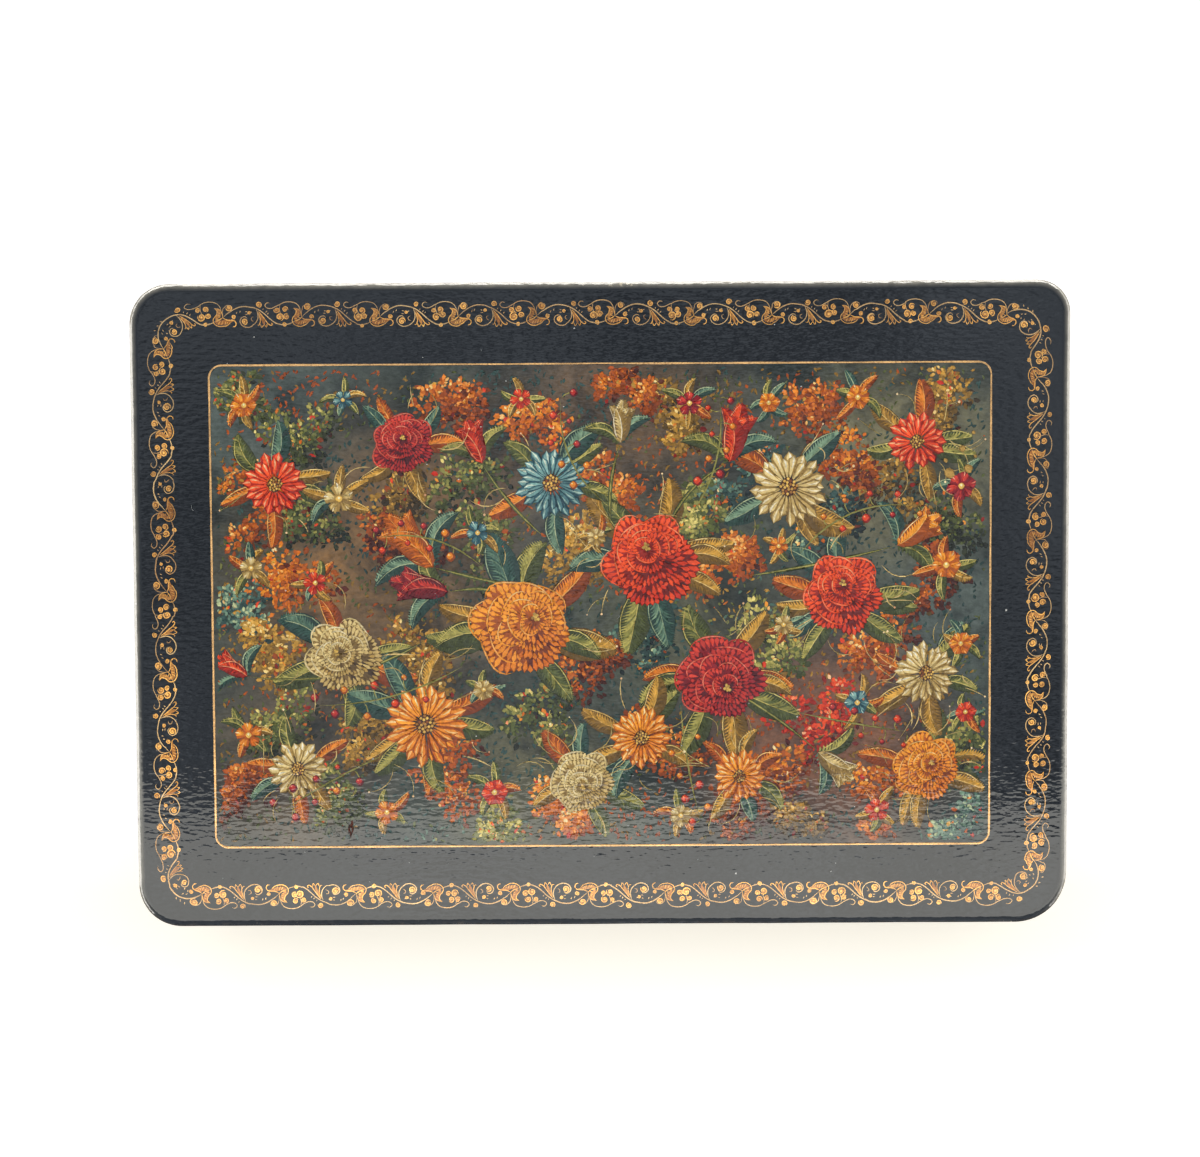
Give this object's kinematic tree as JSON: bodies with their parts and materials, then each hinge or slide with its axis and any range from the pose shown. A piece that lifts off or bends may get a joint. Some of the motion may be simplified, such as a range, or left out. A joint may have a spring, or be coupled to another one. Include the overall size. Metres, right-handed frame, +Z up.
{
  "type": "lacquer box",
  "caption": "Flat rectangular papier-mache lacquer box with a hinged lid, a gold vine border and a painted panel on the lid.",
  "frame": {"origin": "centre of the underside of the base board, which the box rests on", "axes": "+X along the width, +Y from the front to the hinge at the back, +Z up through the lid"},
  "size_m": [0.19, 0.131, 0.0501],
  "materials": {
    "black_lacquer": "polished lacquer on papier-mache",
    "red_lacquer": "red lacquer on papier-mache",
    "hinge_brass": "worn, hand polished",
    "pin_steel": "drawn wire",
    "panel_paint": "tempera under clear lacquer",
    "gold_paint": "gold powder paint under clear lacquer"
  },
  "bodies": {
    "body": {"base_board": "black_lacquer", "wall": "black_lacquer", "rim_sleeve": "red_lacquer", "hinge_leaf_body": "hinge_brass", "body_leaf_pins": "hinge_brass", "hinge_pin": "pin_steel"},
    "lid": {"lid_frame": "black_lacquer", "lid_board": "black_lacquer", "hinge_leaf_lid": "hinge_brass", "lid_leaf_pins": "hinge_brass", "painted_panel": "panel_paint", "gold_frame_line": "gold_paint", "gold_vine_border": "gold_paint"}
  },
  "joints": [
    {"name": "lid_hinge", "type": "hinge", "parent": "body", "child": "lid", "pos_m": [0, 0.0625, 0.038], "axis": [-1, 0, 0], "range_deg": [0, 100]}
  ]
}
